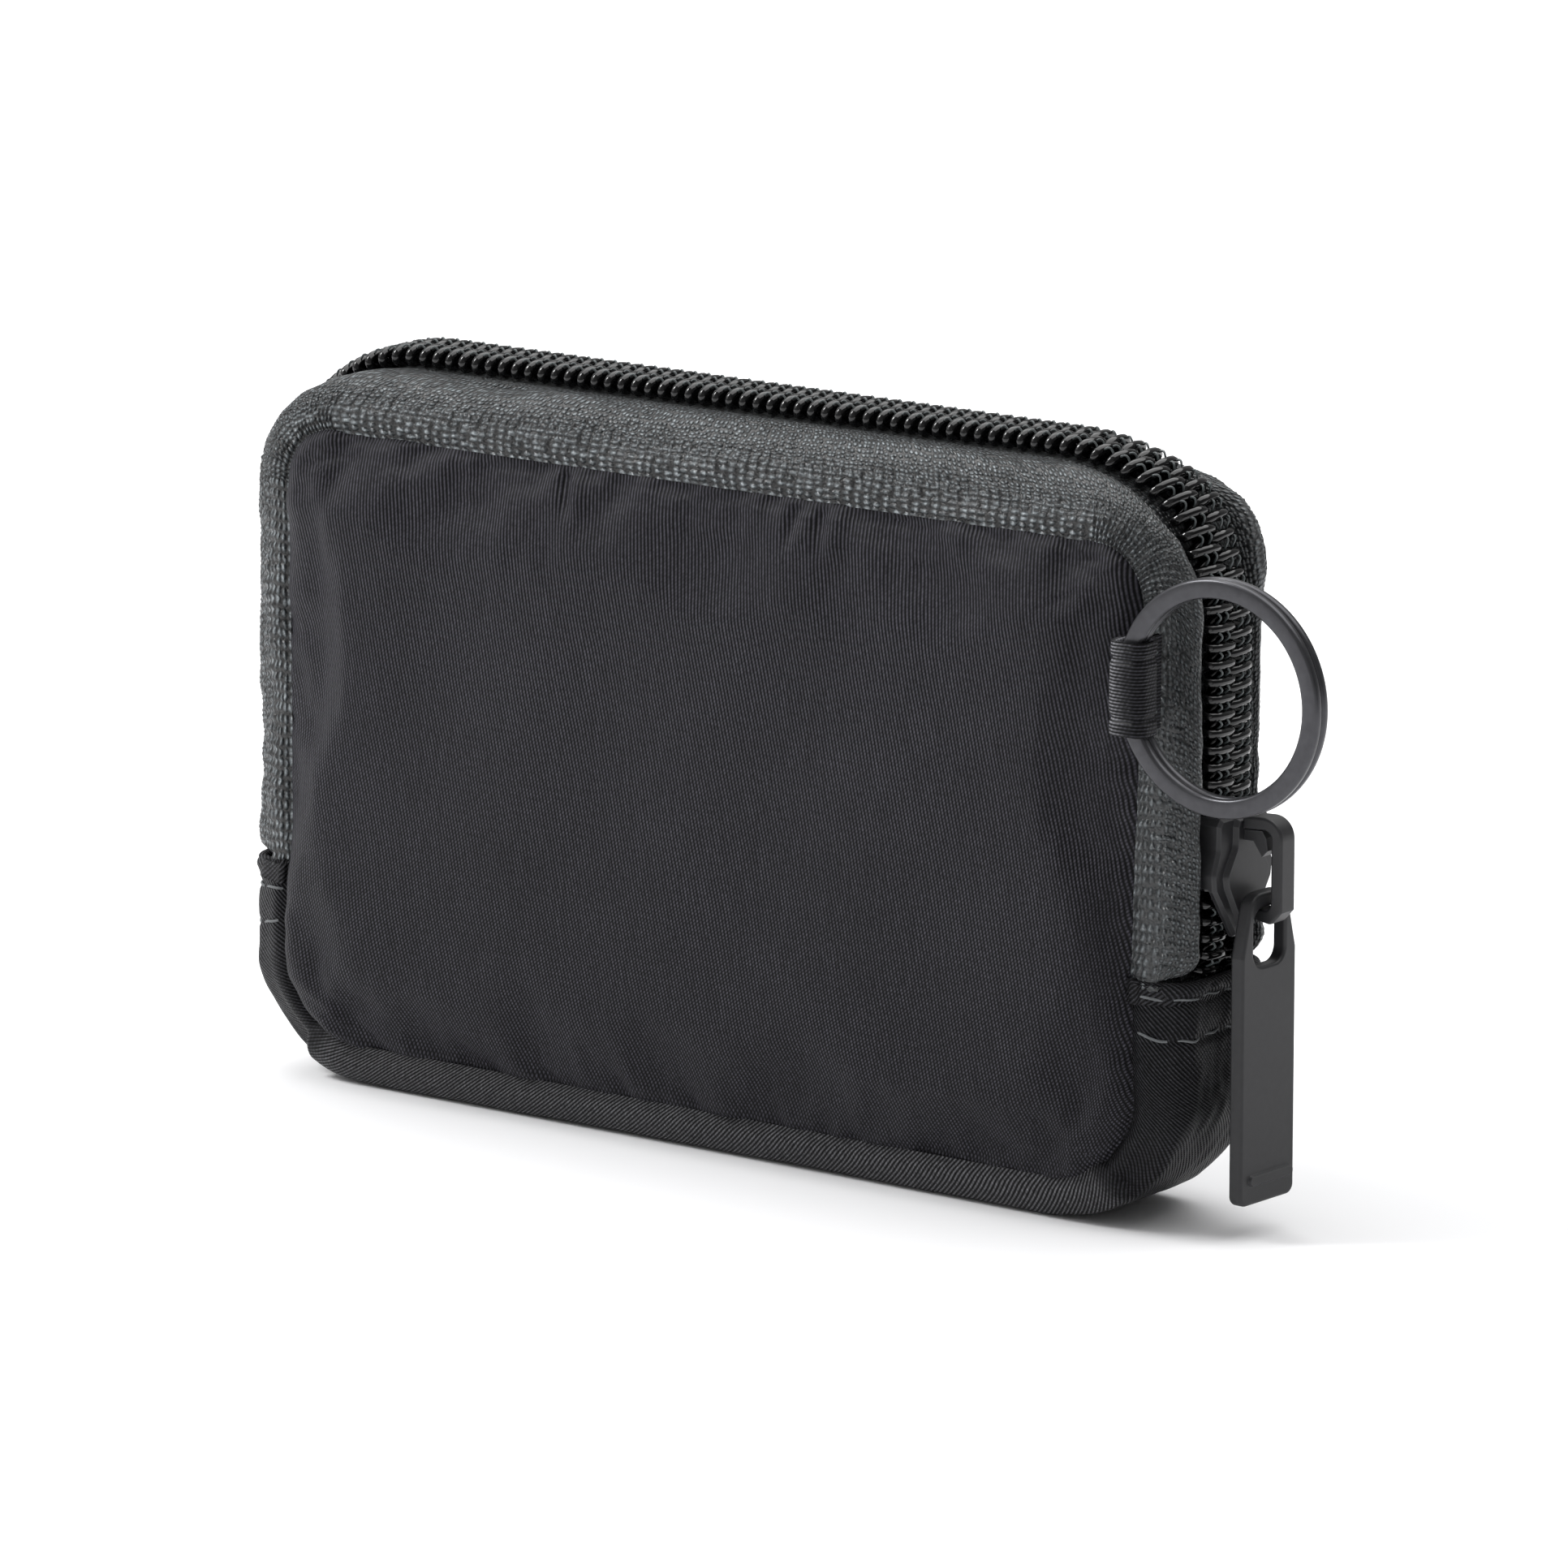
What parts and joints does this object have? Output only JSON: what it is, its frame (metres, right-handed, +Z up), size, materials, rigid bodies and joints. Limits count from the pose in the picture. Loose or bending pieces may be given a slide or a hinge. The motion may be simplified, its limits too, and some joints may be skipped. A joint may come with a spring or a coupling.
{
  "type": "zippered pouch",
  "caption": "Small upright zip pouch with padded twill panels, a coil zip over the top, a pull tab on the side and a split ring on a fabric tab.",
  "frame": {"origin": "under the middle of the bottom gusset, on the plane the pouch stands on", "axes": "+X across the width towards the zip slider and key ring, +Y to the back panel, +Z up"},
  "size_m": [0.121, 0.0228, 0.069],
  "materials": {
    "panel_twill": "woven nylon twill, matt",
    "foam": "soft closed cell foam",
    "lining": "plain woven polyester",
    "zip_tape": "knitted polyester tape",
    "zip_coil": "glossy nylon monofilament",
    "thread": "spun polyester sewing thread",
    "binding": "woven bias tape",
    "slider_paint": "matt painted zinc",
    "ring_metal": "satin coated steel"
  },
  "bodies": {
    "back_half": {"back_panel": "panel_twill", "back_foam": "foam", "back_lining": "lining", "back_seam_binding": "binding", "zipper_tape_back": "zip_tape", "zipper_coil_back": "zip_coil", "coil_sewing_back": "thread", "lower_gusset": "panel_twill", "gusset_lining": "lining", "hem_stitches_right": "thread", "hem_stitches_left": "thread"},
    "front_half": {"front_panel": "panel_twill", "front_foam": "foam", "front_lining": "lining", "front_seam_binding": "binding", "zipper_tape_front": "zip_tape", "zipper_coil_front": "zip_coil", "coil_sewing_front": "thread"},
    "key_loop": {"key_tab": "panel_twill", "key_tab_stitches": "thread"},
    "split_ring": {"key_ring": "ring_metal"},
    "slider": {"slider_body": "slider_paint", "slider_crown": "slider_paint", "slider_lock_spring": "slider_paint"},
    "pull": {"pull_tab": "slider_paint"}
  },
  "joints": [
    {"name": "pouch_opening", "type": "hinge", "parent": "back_half", "child": "front_half", "pos_m": [0, -0.0074, 0.0036], "axis": [1, 0, 0], "range_deg": [0, 20], "deforming": ["zipper_coil_front", "coil_sewing_front"]},
    {"name": "tab_swing", "type": "hinge", "parent": "front_half", "child": "key_loop", "pos_m": [0.0489, -0.0084, 0.05], "axis": [0, 0, 1], "range_deg": [-45, 40]},
    {"name": "ring_spin", "type": "hinge", "parent": "key_loop", "child": "split_ring", "pos_m": [0.0584, -0.0116, 0.0502], "axis": [0, 1, 0], "continuous": true},
    {"name": "slider_travel", "type": "slide", "parent": "back_half", "child": "slider", "axis": [0, 0, 1], "range_m": [-0.0025, 0.0135], "deforming": ["zipper_coil_back", "coil_sewing_back"]},
    {"name": "pull_swing", "type": "hinge", "parent": "slider", "child": "pull", "pos_m": [0.05515, 0, 0.0301], "axis": [0, -1, 0], "range_deg": [-5, 135]}
  ]
}
